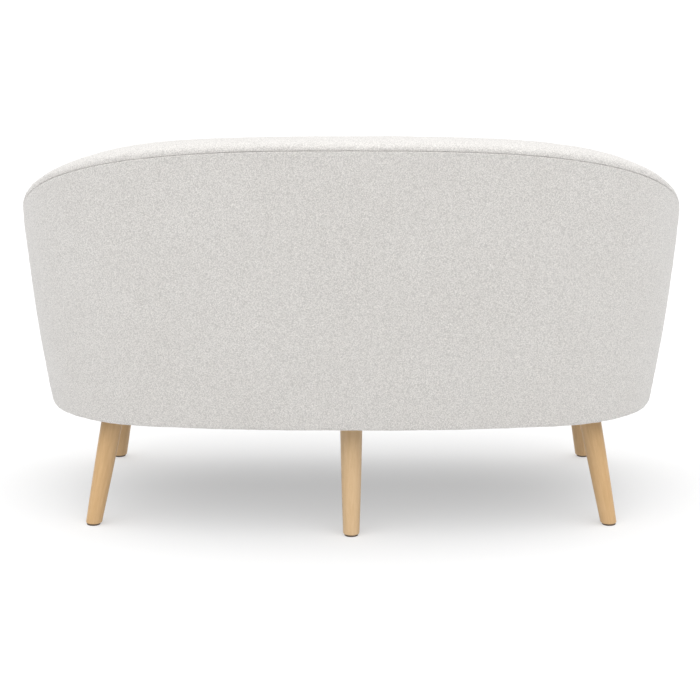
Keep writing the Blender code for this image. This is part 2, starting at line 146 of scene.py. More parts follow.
# The inside padding: its swell over the arms and back, and its two upright seams, which stand
# at the station UPRIGHT_SEAM. STATION_LENGTH is how far apart two whole stations are there.
PAD_BULGE = 0.008
PAD_SLACK = 0.0012
PAD_ROLL = 0.007
UPRIGHT_SEAM = 0.66
STATION_LENGTH = 0.86
UPRIGHT_DEPTH = 0.0035
UPRIGHT_WIDTH = 0.006

# The cushion's seams: each is a narrow groove in a wider hollow, both given as depth and
# width, with puckers beside it.
GROOVE = (0.0034, 0.0024)
HOLLOW = (0.0016, 0.0075)
PUCKER = 0.0008
ZIP_GROOVE = (0.0018, 0.004)

# Swelling the cushion: its mesh, how wide a band its seams hold, and how far each face may go.
VOXEL = 0.007
PINNED = 0.0055
PRESSURE = 4.0
LAST_FRAME = 20
SWELLING = {"top": 0.020, "front": 0.010, "border": 0.0025, "base": 0.0006}

# The studio and the camera.
FLOOR_TONE = 0.49
FLOOR_GLOW = 0.46
SKY_FILL = 0.050
SUN_ENERGY = 4.5
SUN_SPREAD = math.radians(118)
SUN_TILT = math.radians(-10)
CAMERA_PLACE = (0.0025, 4.180, 1.321)
CAMERA_DIP = math.radians(13.5)
FOCAL_LENGTH = 108.0

# The mesh attribute that holds a leg's own coordinates, with its length along Z.
GRAIN = "grain"

BODY = "sofa"
CUSHION_BODY = "seat_cushion"


# ---------------------------------------------------------------- the tub's surface


def opening_out(z, base, flare):
    """How far the outline reaches at height z: a straight flare with a slight belly."""
    share = (z - UNDERSIDE) / (BACK_HEIGHT - UNDERSIDE)
    return base + flare * (z - UNDERSIDE) + 4 * BELLY * share * (1 - share)


def back_curve(angle, z):
    """x, y and the outward normal's x and y on the back's right quadrant, a superellipse."""
    half_width = opening_out(z, BASE_HALF_WIDTH, SIDE_FLARE)
    reach = opening_out(z, BASE_REAR, REAR_FLARE) - WIDEST_Y
    across = np.sin(angle) ** (2 / ROUNDNESS)
    along = np.maximum(np.cos(angle), 0.0) ** (2 / ROUNDNESS)
    nx = across ** (ROUNDNESS - 1) / half_width
    ny = along ** (ROUNDNESS - 1) / reach
    size = np.hypot(nx, ny)
    return half_width * across, WIDEST_Y + reach * along, nx / size, ny / size


def arm_front(z):
    """Y of the arm's front edge, which leans forwards as it rises."""
    return ARM_FRONT + ARM_FRONT_LEAN * (ARM_HEIGHT - z)


def running_length(points):
    """The length along a line of points, at each of them."""
    steps = np.linalg.norm(np.diff(points, axis=0), axis=1)
    return np.concatenate([[0.0], np.cumsum(steps)])


def quadrant_table(samples=2000):
    """(share of the quadrant's length, superellipse angle) at the underside."""
    angle = np.linspace(0, math.pi / 2, samples)
    x, y, _, _ = back_curve(angle, UNDERSIDE)
    length = running_length(np.column_stack([x, y]))
    return length / length[-1], angle


QUADRANT_SHARES, QUADRANT_ANGLES = quadrant_table()


def outline(u, z):
    """Points of the tub's outside, and the plan's outward normals there."""
    u, z = np.broadcast_arrays(np.asarray(u, float), np.asarray(z, float))
    station = np.minimum(np.abs(u), 2.0)
    angle = np.interp(np.minimum(station, 1.0), QUADRANT_SHARES, QUADRANT_ANGLES)
    x, y, nx, ny = back_curve(angle, z)
    share = np.clip(station - 1, 0.0, 1.0)
    arm_x = opening_out(z, BASE_HALF_WIDTH, SIDE_FLARE) - ARM_TAPER * share**2
    arm_y = WIDEST_Y + (arm_front(z) - WIDEST_Y) * share
    on_arm = station > 1
    x, y = np.where(on_arm, arm_x, x), np.where(on_arm, arm_y, y)
    nx, ny = np.where(on_arm, 1.0, nx), np.where(on_arm, 0.0, ny)
    side = np.where(u < 0, -1.0, 1.0)
    points = np.stack([x * side, y, z], -1)
    return points, np.stack([nx * side, ny, np.zeros_like(z)], -1)


def wall_point(u, z, inset=0.0):
    point, normal = outline(u, z)
    return point - normal * np.asarray(inset)[..., None]


def rim_profile(y):
    """The rim's height in the side view: the back's slope runs into the arm, whose front
    corner is round."""
    slope = BACK_HEIGHT - RIM_SLOPE * (REAR_TOP_Y - y)
    arm = ARM_HEIGHT + ARM_SLOPE * (y - ARM_FRONT)
    height = (slope + arm + np.hypot(slope - arm, SLOPE_BLEND)) / 2
    short = np.clip(ARM_CORNER - (y - ARM_FRONT), 0.0, ARM_CORNER)
    return height - ARM_CORNER + np.sqrt(ARM_CORNER**2 - short**2)


def rim_height(u):
    u = np.asarray(u, float)
    arm_y = WIDEST_Y + (ARM_FRONT - WIDEST_Y) * np.clip(np.abs(u) - 1, 0.0, 1.0)
    height = np.full(u.shape, BACK_HEIGHT)
    for _ in range(8):
        height = rim_profile(outline(np.clip(u, -1, 1), height)[0][..., 1])
    return np.where(np.abs(u) >= 1, rim_profile(arm_y), height)


def smooth_step(value, low, high):
    """0 below low, 1 above high, and an S-curve between."""
    share = np.clip((value - low) / (high - low), 0.0, 1.0)
    return share * share * (3 - 2 * share)


def plateau(value, rise, fall):
    """Goes from 0 to 1 over the range rise, and back to 0 over the range fall."""
    return smooth_step(value, *rise) * (1 - smooth_step(value, *fall))


def groove(distance, depth, width):
    """A bell-shaped groove along a line, given the distance from the line."""
    return depth * np.exp(-((distance / width) ** 2))


def pad_inset(u, z):
    """Inset of the seat side of the inner padding, which is thickest low in the back."""
    normal = outline(u, z)[1]
    share = np.clip((z - DECK[1]) / (rim_height(u) - DECK[1]), 0.0, 1.0)
    return RIM_WIDTH + LUMBAR * np.maximum(normal[..., 1], 0.0) * (1 - share)


def rim_line(step, lowest):
    """(u, z) along the rim's outer edge at even steps, up the left arm's front, over the back
    and down the right arm's front to the height lowest."""
    arm_length = WIDEST_Y - ARM_FRONT
    turn = np.linspace(math.pi / 2, 0, 240)
    corner = 2 - ARM_CORNER / arm_length * (1 - np.cos(turn))
    u = np.concatenate([np.linspace(0, 1, 1600), np.linspace(1, corner[0], 300)[1:], corner[1:]])
    z = rim_height(u)
    fall = np.linspace(z[-1], lowest, 200)[1:]
    u = np.concatenate([u, np.full(fall.shape, 2.0)])
    z = np.concatenate([z, fall])
    u, z = np.concatenate([-u[:0:-1], u]), np.concatenate([z[:0:-1], z])
    length = running_length(outline(u, z)[0])
    count = int(length[-1] / step) // 2 * 2 + 1
    even = np.linspace(0, length[-1], count)
    return np.interp(even, length, u), np.interp(even, length, z)


def wall_columns(step):
    """Stations at even steps along the rim, closer together round the arms' front corners."""
    u, _ = rim_line(step, UNDERSIDE)
    on_top = np.abs(u) < 2 - 1e-9
    return np.concatenate([[-2.0], u[on_top], [2.0]])


# ---------------------------------------------------------------- small tools


def hashed(cell, seed):
    """A fixed pseudo-random value from 0 to 1 for each whole-number cell."""
    x, y, z = (cell[..., i].astype(np.uint64) for i in range(3))
    mixed = x * np.uint64(73856093) ^ y * np.uint64(19349663) ^ z * np.uint64(83492791)
    mixed = (mixed ^ np.uint64(seed * 2654435761)) * np.uint64(0x9E3779B97F4A7C15)
    return ((mixed >> np.uint64(40)) & np.uint64(0xFFFF)).astype(float) / 0xFFFF


def lumps(points, size, seed):
    """Smooth noise from -1 to 1 whose lumps are about size across."""
    place = points / size + 1000.0
    cell = np.floor(place).astype(np.int64)
    share = place - cell
    share = share * share * (3 - 2 * share)
    total = np.zeros(points.shape[:-1])
    for corner in np.ndindex(2, 2, 2):
        offset = np.array(corner)
        weight = np.prod(np.where(offset == 1, share, 1 - share), axis=-1)
        total += weight * hashed(cell + offset, seed)
    return 2 * total - 1


def nearest_on(points, line):
    """For each point, the nearest point of a densely sampled line."""
    tree = KDTree(len(line))
    for i, place in enumerate(line):
        tree.insert(place, i)
    tree.balance()
    index = [tree.find(place)[1] for place in points.reshape(-1, 3)]
    return line[index].reshape(points.shape)


def distance_to(points, line):
    return np.linalg.norm(nearest_on(points, line) - points, axis=-1)


def grid_faces(rows, columns):
    index = np.arange(rows * columns).reshape(rows, columns)
    corners = (index[:-1, :-1], index[:-1, 1:], index[1:, 1:], index[1:, :-1])
    return np.stack(corners, -1).reshape(-1, 4)


def grid_border(rows, columns):
    index = np.arange(rows * columns).reshape(rows, columns)
    return np.concatenate([index[0, :-1], index[:-1, -1], index[-1, :0:-1], index[:0:-1, 0]])


def turned_outwards(points, face_groups):
    """The groups of faces, all turned round if the closed body they make is inside out."""
    volume = 0.0
    for group in face_groups:
        corners = points[group]
        fan = np.cross(corners[:, 1:-1], corners[:, 2:])
        volume += np.einsum("fk,fnk->", corners[:, 0], fan)
    if volume < 0:
        return [group[:, ::-1] for group in face_groups]
    return face_groups


def new_piece(name, points, face_groups, material, body=BODY, sharp=None):
    """A smooth-shaded mesh object that rides on a body. face_groups is a list of arrays of
    faces, one array for each number of corners. sharp is the angle past which an edge is
    drawn sharp."""
    face_groups = turned_outwards(points, face_groups)
    faces = [face for group in face_groups for face in group.tolist()]
    data = bpy.data.meshes.new(name)
    data.from_pydata(points.tolist(), [], faces)
    data.materials.append(material)
    data.shade_smooth()
    if sharp:
        data.set_sharp_from_angle(angle=math.radians(sharp))
    obj = bpy.data.objects.new(name, data)
    bpy.context.scene.collection.objects.link(obj)
    if body:
        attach(obj, body)
    return obj


def slab(name, front, back, material, **options):
    """A closed body between two grids of points of the same size."""
    rows, columns = front.shape[:2]
    count = rows * columns
    near = grid_faces(rows, columns)
    far = grid_faces(rows, columns)[:, ::-1] + count
    start = grid_border(rows, columns)
    end = np.roll(start, -1)
    sides = np.stack([end, start, start + count, end + count], -1)
    points = np.concatenate([front.reshape(-1, 3), back.reshape(-1, 3)])
    return new_piece(name, points, [np.concatenate([near, far, sides])], material, **options)


def sweep(name, loops, material, **options):
    """A closed body through loops of equal length, capped at both ends."""
    count, around = loops.shape[:2]
    index = np.arange(count * around).reshape(count, around)
    following = np.roll(index, -1, axis=1)
    sides = np.stack([index[:-1], following[:-1], following[1:], index[1:]], -1).reshape(-1, 4)
    caps = np.stack([index[0][::-1], index[-1]])
    return new_piece(name, loops.reshape(-1, 3), [sides, caps], material, **options)


def grid_normals(grid):
    """Unit normals of a grid of points."""
    normals = np.cross(np.gradient(grid, axis=1), np.gradient(grid, axis=0))
    return normals / np.maximum(np.linalg.norm(normals, axis=-1, keepdims=True), 1e-12)


def nubbly(grid, seed):
    """The grid with the uneven face of looped cloth."""
    uneven = lumps(grid, NUB_SIZE, seed) + 0.6 * lumps(grid, NUB_PATCH_SIZE, seed + 1)
    return grid + grid_normals(grid) * (NUB_RELIEF * uneven)[..., None]


def roll_off(distance, radius):
    """How far a rounded edge falls away at a distance from the edge."""
    inside = np.clip(radius - distance, 0.0, radius)
    return radius - np.sqrt(radius**2 - inside**2)


def rows_to(top):
    """Shares from 0 to 1 along a height top, with extra rows close to the upper end."""
    coarse = np.linspace(0, 1 - SEAM_REACH / top, int((top - SEAM_REACH) / STEP))
    close = 1 - np.array(SEAM_ROWS) / top
    return np.concatenate([coarse, close])


# ---------------------------------------------------------------- materials


def nodes_of(name):
    material = bpy.data.materials.new(name)
    material.use_nodes = True
    return material, material.node_tree, material.node_tree.nodes["Principled BSDF"]


def node(tree, kind, **settings):
    """A new node. Settings name its properties or, with a leading capital, its inputs."""
    made = tree.nodes.new(kind)
    for key, value in settings.items():
        if key[0].isupper():
            made.inputs[key.replace("_", " ")].default_value = value
        else:
            setattr(made, key, value)
    return made


def coordinates(tree):
    return node(tree, "ShaderNodeTexCoord").outputs["Object"]


def math_node(tree, operation, first, second):
    made = node(tree, "ShaderNodeMath", operation=operation)
    for socket, value in zip(made.inputs, (first, second)):
        if isinstance(value, (int, float)):
            socket.default_value = value
        else:
            tree.links.new(value, socket)
    return made.outputs[0]


def weighted_sum(tree, *terms):
    """The sum of (value, weight) terms."""
    weighted = [math_node(tree, "MULTIPLY", value, weight) for value, weight in terms]
    total = weighted[0]
    for term in weighted[1:]:
        total = math_node(tree, "ADD", total, term)
    return total


def ramp(tree, factor, stops):
    """A colour ramp through (position, colour) stops."""
    made = node(tree, "ShaderNodeValToRGB")
    elements = made.color_ramp.elements
    while len(elements) < len(stops):
        elements.new(0.5)
    for element, (position, colour) in zip(elements, stops):
        element.position = position
        element.color = (*colour, 1.0)
    tree.links.new(factor, made.inputs[0])
    return made.outputs["Color"]


def noise(tree, where, scale, detail=2.0, distortion=0.0, roughness=0.5):
    made = node(
        tree,
        "ShaderNodeTexNoise",
        Scale=scale,
        Detail=detail,
        Distortion=distortion,
        Roughness=roughness,
    )
    tree.links.new(where, made.inputs["Vector"])
    return made.outputs["Fac"]


def bump(tree, shader, height, distance, strength):
    made = node(tree, "ShaderNodeBump", Strength=strength, Distance=distance)
    tree.links.new(height, made.inputs["Height"])
    tree.links.new(made.outputs["Normal"], shader.inputs["Normal"])


def boucle_material():
    """Looped wool-like cloth: small curled nubs, painted shade between them, with a soft sheen."""
    material, tree, shader = nodes_of("boucle_cloth")
    where = coordinates(tree)
    curled = warped(tree, where, scale=220.0, reach=0.004)
    coarse = voronoi_nubs(tree, curled, scale=420.0)
    fine = voronoi_nubs(tree, curled, scale=700.0)
    fibres = noise(tree, curled, scale=900.0, detail=2.0, distortion=0.8)
    height = weighted_sum(tree, (coarse, 0.42), (fine, 0.40), (fibres, 0.18))
    # The colour ramp runs from painted shade in the gaps, where the loops shade one another, to
    # the fibre's own colour on the nubs' tops.
    between, on_top = (0.498, 0.482, 0.463), (0.845, 0.820, 0.787)
    tint = ramp(tree, height, ((0.38, between), (0.74, on_top)))
    broad = noise(tree, where, scale=7.0, detail=3.0)
    patches = ramp(tree, broad, ((0.3, (0.975, 0.972, 0.968)), (0.7, (1.0, 1.0, 1.0))))
    mix = node(tree, "ShaderNodeMix", data_type="RGBA", blend_type="MULTIPLY")
    mix.inputs["Factor"].default_value = 1.0
    tree.links.new(tint, mix.inputs["A"])
    tree.links.new(patches, mix.inputs["B"])
    tree.links.new(mix.outputs["Result"], shader.inputs["Base Color"])
    shader.inputs["Roughness"].default_value = 0.95
    shader.inputs["Specular IOR Level"].default_value = 0.15
    shader.inputs["Sheen Weight"].default_value = 0.4
    shader.inputs["Sheen Roughness"].default_value = 0.8
    bump(tree, shader, height, distance=0.0018, strength=0.45)
    return material


def warped(tree, where, scale, reach):
    """Coordinates pushed about by noise, which bends what is drawn with them."""
    drift = node(tree, "ShaderNodeTexNoise", Scale=scale, Detail=1.0)
    tree.links.new(where, drift.inputs["Vector"])
    centred = node(tree, "ShaderNodeVectorMath", operation="SUBTRACT")
    tree.links.new(drift.outputs["Color"], centred.inputs[0])
    centred.inputs[1].default_value = (0.5, 0.5, 0.5)
    scaled = node(tree, "ShaderNodeVectorMath", operation="SCALE")
    tree.links.new(centred.outputs[0], scaled.inputs[0])
    scaled.inputs["Scale"].default_value = reach
    moved = node(tree, "ShaderNodeVectorMath", operation="ADD")
    tree.links.new(where, moved.inputs[0])
    tree.links.new(scaled.outputs[0], moved.inputs[1])
    return moved.outputs[0]


def voronoi_nubs(tree, where, scale):
    """Rounded nubs, 1 at their tops and lower between them."""
    cells = node(tree, "ShaderNodeTexVoronoi", feature="SMOOTH_F1", Scale=scale, Smoothness=0.25)
    tree.links.new(where, cells.inputs["Vector"])
    return math_node(tree, "SUBTRACT", 1.0, cells.outputs["Distance"])


def mapped(tree, scale, place=None):
    """Object coordinates, or those of the mesh attribute named by place, stretched by scale."""
    made = node(tree, "ShaderNodeMapping")
    made.inputs["Scale"].default_value = scale
    if place:
        source = node(tree, "ShaderNodeAttribute", attribute_name=place).outputs["Vector"]
    else:
        source = coordinates(tree)
    tree.links.new(source, made.inputs["Vector"])
    return made.outputs["Vector"]


WOOD_ROUGHNESS_SPREAD = 0.07


def wood_material(name, light, dark, grain_scale, roughness, place=None):
    """Timber whose grain runs the way that grain_scale stretches it. place names a mesh
    attribute to read in place of the object's coordinates."""
    material, tree, shader = nodes_of(name)
    where = mapped(tree, grain_scale, place)
    broad = noise(tree, where, scale=3.2, detail=3.0, distortion=0.7)
    fine = noise(tree, where, scale=21.0, detail=4.0, distortion=0.2, roughness=0.65)
    figure = weighted_sum(tree, (broad, 0.6), (fine, 0.4))
    middle = tuple((a + b) / 2 for a, b in zip(light, dark))
    tint = ramp(tree, figure, ((0.34, dark), (0.5, middle), (0.66, light)))
    tree.links.new(tint, shader.inputs["Base Color"])
    matt = node(tree, "ShaderNodeMapRange")
    matt.inputs["To Min"].default_value = roughness + WOOD_ROUGHNESS_SPREAD
    matt.inputs["To Max"].default_value = roughness - WOOD_ROUGHNESS_SPREAD
    tree.links.new(fine, matt.inputs["Value"])
    tree.links.new(matt.outputs["Result"], shader.inputs["Roughness"])
    bump(tree, shader, fine, distance=0.0004, strength=0.25)
    return material


def speckled_material(name, stops, scale, roughness, metallic=0.0, relief=0.0003):
    """A plain surface with a fine random grain: board, felt, foam, steel or thin cloth."""
    material, tree, shader = nodes_of(name)
    grain = noise(tree, coordinates(tree), scale, detail=4.0, roughness=0.6)
    tree.links.new(ramp(tree, grain, stops), shader.inputs["Base Color"])
    shader.inputs["Roughness"].default_value = roughness
    shader.inputs["Metallic"].default_value = metallic
    bump(tree, shader, grain, distance=relief, strength=0.7)
    return material


def woven_material(name, light, dark, pitch, roughness):
    """A plain weave: two sets of threads that cross."""
    material, tree, shader = nodes_of(name)
    threads = []
    for direction in ("X", "Y"):
        wave = node(tree, "ShaderNodeTexWave", bands_direction=direction)
        wave.inputs["Scale"].default_value = 1 / pitch / math.tau
        wave.inputs["Distortion"].default_value = 0.6
        tree.links.new(mapped(tree, (math.tau, math.tau, math.tau)), wave.inputs["Vector"])
        threads.append(wave.outputs["Fac"])
    weave = math_node(tree, "MAXIMUM", *threads)
    tree.links.new(ramp(tree, weave, ((0.25, dark), (0.9, light))), shader.inputs["Base Color"])
    shader.inputs["Roughness"].default_value = roughness
    bump(tree, shader, weave, distance=0.0005, strength=0.6)
    return material


BOUCLE = boucle_material()
LEG_GRAIN = (55.0, 55.0, 4.0)
LEG_FINISH = {"grain_scale": LEG_GRAIN, "roughness": 0.42, "place": GRAIN}
LEG_WOOD = wood_material("leg_beech", (0.686, 0.452, 0.232), (0.588, 0.366, 0.168), **LEG_FINISH)
# A paler copy of the leg beech for the middle leg: painted light, for the extra light that leg
# catches from the front.
PAINTED_LIGHT_LEG_WOOD = wood_material(
    "leg_beech_painted_light", (0.743, 0.524, 0.305), (0.639, 0.426, 0.222), **LEG_FINISH
)
PINE = ((0.66, 0.47, 0.27), (0.50, 0.32, 0.16))
TIMBER_ACROSS = wood_material("frame_pine_across", *PINE, (4.0, 40.0, 40.0), roughness=0.7)
TIMBER_DEEP = wood_material("frame_pine_deep", *PINE, (40.0, 4.0, 40.0), roughness=0.7)
TIMBER_UPRIGHT = wood_material("frame_pine_upright", *PINE, (40.0, 40.0, 4.0), roughness=0.7)
BOARD = speckled_material(
    "fibreboard", ((0.3, (0.20, 0.12, 0.07)), (0.7, (0.33, 0.22, 0.13))),
    scale=260.0, roughness=0.85,
)
FOAM = speckled_material(
    "foam_open_cell", ((0.3, (0.70, 0.62, 0.38)), (0.7, (0.84, 0.78, 0.55))),
    scale=900.0, roughness=0.95,
)
SPRING_STEEL = speckled_material(
    "spring_wire", ((0.3, (0.20, 0.20, 0.21)), (0.7, (0.34, 0.34, 0.35))),
    scale=120.0, roughness=0.35, metallic=1.0, relief=0.0001,
)
ZINC = speckled_material(
    "zinc_plate", ((0.3, (0.50, 0.50, 0.52)), (0.7, (0.66, 0.66, 0.68))),
    scale=60.0, roughness=0.38, metallic=1.0, relief=0.0001,
)
FELT = speckled_material(
    "glide_felt", ((0.3, (0.075, 0.055, 0.04)), (0.7, (0.17, 0.13, 0.10))),
    scale=1500.0, roughness=0.95,
)
DUST_CLOTH = speckled_material(
    "dust_cloth", ((0.35, (0.010, 0.010, 0.010)), (0.65, (0.030, 0.030, 0.030))),
    scale=700.0, roughness=0.9,
)
WEBBING = woven_material(
    "elastic_webbing", (0.10, 0.10, 0.10), (0.03, 0.03, 0.03), pitch=0.0016, roughness=0.8
)
DECK_CLOTH = woven_material(
    "deck_cloth", (0.66, 0.63, 0.58), (0.50, 0.475, 0.43), pitch=0.0014, roughness=0.9
)

SLOT_MATERIALS = {
    "foam": FOAM,
    "fibreboard": BOARD,
    "frame_timber": TIMBER_ACROSS,
    "leg_wood": LEG_WOOD,
    "spring_steel": SPRING_STEEL,
    "zinc_steel": ZINC,
    "glide_felt": FELT,
    "webbing": WEBBING,
    "dust_cloth": DUST_CLOTH,
    "boucle_fabric": BOUCLE,
}


def finish_cad_nodes():
    """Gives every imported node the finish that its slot's name calls for."""
    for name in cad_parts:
        obj = bpy.data.objects[name]
        for slot in obj.material_slots:
            plain = slot.material.name if slot.material else ""
            for key, made in SLOT_MATERIALS.items():
                if key in plain:
                    slot.material = made
        if "post" in name:
            obj.material_slots[0].material = TIMBER_UPRIGHT
        if name in ("centre_rail", "side_rail_left", "side_rail_right"):
            obj.material_slots[0].material = TIMBER_DEEP


# ---------------------------------------------------------------- the tub's cloth


def rim_frames(step, lowest):
    """Points, inward directions and upward directions along the rim's outer edge."""
    u, z = rim_line(step, lowest)
    points, outward = outline(u, z)
    along = np.gradient(points, axis=0)
    up = np.cross(along, outward)
    up /= np.linalg.norm(up, axis=1, keepdims=True)
    return u, points, -outward, up


def seam_line(inset):
    """A dense line of points along a seam between the rim and the wall."""
    _, points, inward, _ = rim_frames(SEAM_SAMPLE, UNDERSIDE)
    return points + inward * inset


def make_outer_cover():
    """The outside cloth in one piece from arm to arm, turned in along its seam with the rim
    and rolled under the frame."""
    columns = wall_columns(STEP)
    top = rim_height(columns)
    across, down = EDGE_ROLL
    turn = np.radians(np.arange(0, 90, 11.25))
    insets = [inset for inset, _ in HEM] + list(across * (1 - np.sin(turn)))
    rises = [rise for _, rise in HEM] + list(down * (1 - np.cos(turn)))
    face = rows_to(BACK_HEIGHT - UNDERSIDE - down)
    low = UNDERSIDE + down
    z_rows = [np.full(columns.shape, UNDERSIDE + rise) for rise in rises]
    z_rows += [low + (top - low) * share for share in face]
    z = np.stack(z_rows)
    inset = np.concatenate([insets, np.zeros(len(face))])[:, None] + np.zeros_like(z)
    corner = plateau(np.abs(columns), (0.38, 0.60), (0.78, 0.97))
    low_down = 1 - smooth_step(z, UNDERSIDE, UNDERSIDE + SAG_HEIGHT)
    outermost = 1 - smooth_step(inset, 0.004, 0.012)
    z -= CORNER_SAG * corner * low_down * outermost
    u = np.broadcast_to(columns, z.shape)
    from_seam = distance_to(wall_point(u, z), seam_line(0.0))
    rolled = roll_off(from_seam, PANEL_ROLL)
    slack = PANEL_SLACK * smooth_step(from_seam, 0.0, 0.02) * lumps(wall_point(u, z), 0.16, 5)
    front = nubbly(wall_point(u, z, inset + rolled - slack - PROUD), 11)
    tuck_inset = SEAM_TUCK + PANEL_ROLL + np.zeros_like(columns)
    tuck = wall_point(columns, top + TUCK_RISE, tuck_inset)
    front = np.concatenate([front, tuck[None]])
    back = front + grid_normals(front) * CLOTH
    outward = outline(u, z)[1]
    outward = np.concatenate([outward, outward[-1:]])
    if np.einsum("rck,rck->rc", back - front, outward).mean() > 0:
        back = front - grid_normals(front) * CLOTH
    cover = slab("outer_cover_cloth", front, back, BOUCLE)
    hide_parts("outer_cover")


def band_section(crown):
    """(inward, up) points round the rim's cross-section, for one height of the crown: curled
    in at both seams, crowned between them, flat underneath."""
    curl = np.radians(np.linspace(-90, -18, 5))
    over = np.linspace(math.pi, 0, 31)
    half = RIM_WIDTH / 2
    arch = crown - BAND_CURL
    across = np.sign(np.cos(over)) * np.abs(np.cos(over)) ** (2 / BAND_FULLNESS)
    rise = np.sin(over) ** (2 / BAND_FULLNESS)
    left = BAND_CURL - BAND_CURL * np.cos(curl)
    low = BAND_CURL + BAND_CURL * np.sin(curl)
    inward = np.concatenate([left, half + half * across, RIM_WIDTH - left[::-1]])
    up = np.concatenate([low, BAND_CURL + arch * rise, low[::-1]])
    base = np.linspace(RIM_WIDTH - BAND_CURL - BAND_FOOT, BAND_CURL + BAND_FOOT, 7)
    return np.concatenate([inward, base]), np.concatenate([up, np.zeros(len(base))])


def make_rim_band():
    """The padded band on top of the wall, which runs down both arms' fronts."""
    u, points, inward, up = rim_frames(STEP, UNDERSIDE + BAND_END)
    corners = plateau(np.abs(u), (0.2, 0.6), (0.7, 1.1))
    loops = []
    for i in range(len(points)):
        section_in, section_up = band_section(CROWN + CORNER_CROWN * corners[i])
        rise = (section_up + BAND_LIFT)[:, None]
        loops.append(points[i] + inward[i] * section_in[:, None] + up[i] * rise)
    loops = np.array(loops)
    seams = np.minimum(
        distance_to(loops, seam_line(0.0)), distance_to(loops, seam_line(RIM_WIDTH))
    )
    pucker = BAND_PUCKER * plateau(seams, (0.003, 0.010), (0.012, 0.03))
    uneven = pucker * lumps(loops, 0.022, 21) + BAND_WAVE * lumps(loops, 0.13, 22)
    loops = nubbly(loops, 23)
    free = smooth_step(seams, 0.002, 0.008)
    loops = loops + up[:, None] * (uneven * free)[..., None]
    loops = rounded_ends(loops, BAND_END)
    band = sweep("rim_band_cloth", loops, BOUCLE)
    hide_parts("rim_cover", "rim_foam")


def rounded_ends(loops, radius):
    """Adds a few smaller loops at both ends, so that the band ends in a rounded edge."""
    turn = np.radians((30, 60, 80))
    ends = []
    for loop, beyond in ((loops[0], loops[0] - loops[1]), (loops[-1], loops[-1] - loops[-2])):
        centre = loop.mean(axis=0)
        onwards = beyond.mean(axis=0) / np.linalg.norm(beyond.mean(axis=0))
        away = (loop - centre) / np.linalg.norm(loop - centre, axis=1, keepdims=True)
        end = []
        for angle in turn:
            shrunk = loop - away * radius * (1 - np.cos(angle))
            end.append(shrunk + onwards * radius * np.sin(angle))
        ends.append(end)
    return np.concatenate([np.array(ends[0][::-1]), loops, np.array(ends[1])])


def make_back_pad():
    """The padding inside the back and arms, with its cloth: one body with two upright seams."""
    columns = wall_columns(STEP)
    top = rim_height(columns)
    low = CUSHION[0]
    face = rows_to(BACK_HEIGHT - low)
    z = low + (top - low) * face[:, None]
    u = np.broadcast_to(columns, z.shape)
    plain = wall_point(u, z, pad_inset(u, z))
    from_seam = distance_to(plain, seam_line(RIM_WIDTH))
    over_cushion = smooth_step(z, CUSHION[1], CUSHION[1] + 0.085)
    bulge = PAD_BULGE * smooth_step(from_seam, 0.0, 0.10) * over_cushion
    soft = PAD_SLACK * smooth_step(from_seam, 0.01, 0.05) * lumps(plain, 0.14, 31)
    from_upright = np.abs(np.abs(u) - UPRIGHT_SEAM) * STATION_LENGTH
    stitch = groove(from_upright, UPRIGHT_DEPTH, UPRIGHT_WIDTH) * smooth_step(from_seam, 0.0, 0.02)
    rolled = roll_off(from_seam, PAD_ROLL)
    front = nubbly(wall_point(u, z, pad_inset(u, z) + bulge + soft - rolled - stitch), 33)
    back_z = low + (top - 0.0008 - low) * face[:, None]
    back = wall_point(u, back_z, FOAM_START + np.zeros_like(z))
    pad = slab("back_pad_cloth", front, back, BOUCLE)
    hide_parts("inner_cover", "back_foam")


def make_front_apron():
    """The padded cloth down the front rail and over its top edge."""
    face_y = CUSHION_FRONT + APRON_SETBACK
    rail_face = FRONT_RAIL_Y[0] - 0.0004
    under, over = 0.009, 0.013
    roll = np.radians(np.arange(0, 91, 15))
    hem_y = FRONT_RAIL_Y[0] - 0.0015
    floor_run = [(hem_y, UNDERSIDE + 0.0006), (hem_y - 0.0035, UNDERSIDE)]
    low = [
        (face_y + under * (1 - math.sin(a)), UNDERSIDE + under * (1 - math.cos(a))) for a in roll
    ]
    rise = [(face_y, z) for z in np.linspace(UNDERSIDE + under, DECK[1] - over, 20)[1:-1]]
    high = [
        (face_y + over * (1 - math.cos(a)), DECK[1] - over + over * math.sin(a)) for a in roll
    ]
    lip = [(y, DECK[1]) for y in np.linspace(face_y + over, FRONT_RAIL_Y[1] - 0.017, 5)[1:]]
    profile_y, profile_z = np.array(floor_run + low + rise + high + lip).T
    share = np.linspace(-1, 1, 231)
    half = wall_point(2.0, profile_z, RIM_WIDTH + 0.0004)[:, 0]
    x = half[:, None] * share
    bow = FRONT_BOW * (1 - share**2)
    forward = smooth_step(-profile_y, -FRONT_RAIL_Y[0] - 0.002, -face_y)
    from_end = half[:, None] * (1 - np.abs(share))
    up_share = np.clip((profile_z - UNDERSIDE) / (DECK[1] - UNDERSIDE), 0, 1)[:, None]
    swell = APRON_SWELL * smooth_step(from_end, 0.0, 0.06) * np.sin(math.pi * up_share)
    y = profile_y[:, None] - (bow + swell) * forward[:, None] + roll_off(from_end, 0.006)
    z = profile_z[:, None] + 0 * x
    front = nubbly(np.stack([x, y, z], -1), 41)
    over_rail = profile_z > RAIL_TOP + 0.004
    inner_y = np.where(over_rail, np.maximum(profile_y, rail_face), rail_face)
    inner_z = np.where(over_rail, RAIL_TOP + 0.0012, np.maximum(profile_z, UNDERSIDE + 0.0012))
    back = np.stack([x, inner_y[:, None] + 0 * x, inner_z[:, None] + 0 * x], -1)
    apron = slab("front_apron_cloth", front, back, BOUCLE)
    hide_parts("front_apron")


# ---------------------------------------------------------------- the seat


def even_loop(points, step):
    """A closed loop of points at even steps."""
    closed = np.concatenate([points, points[:1]])
    length = running_length(closed)
    count = int(length[-1] / step)
    even = np.linspace(0, length[-1], count, endpoint=False)
    return np.stack([np.interp(even, length, closed[:, i]) for i in range(3)], -1)


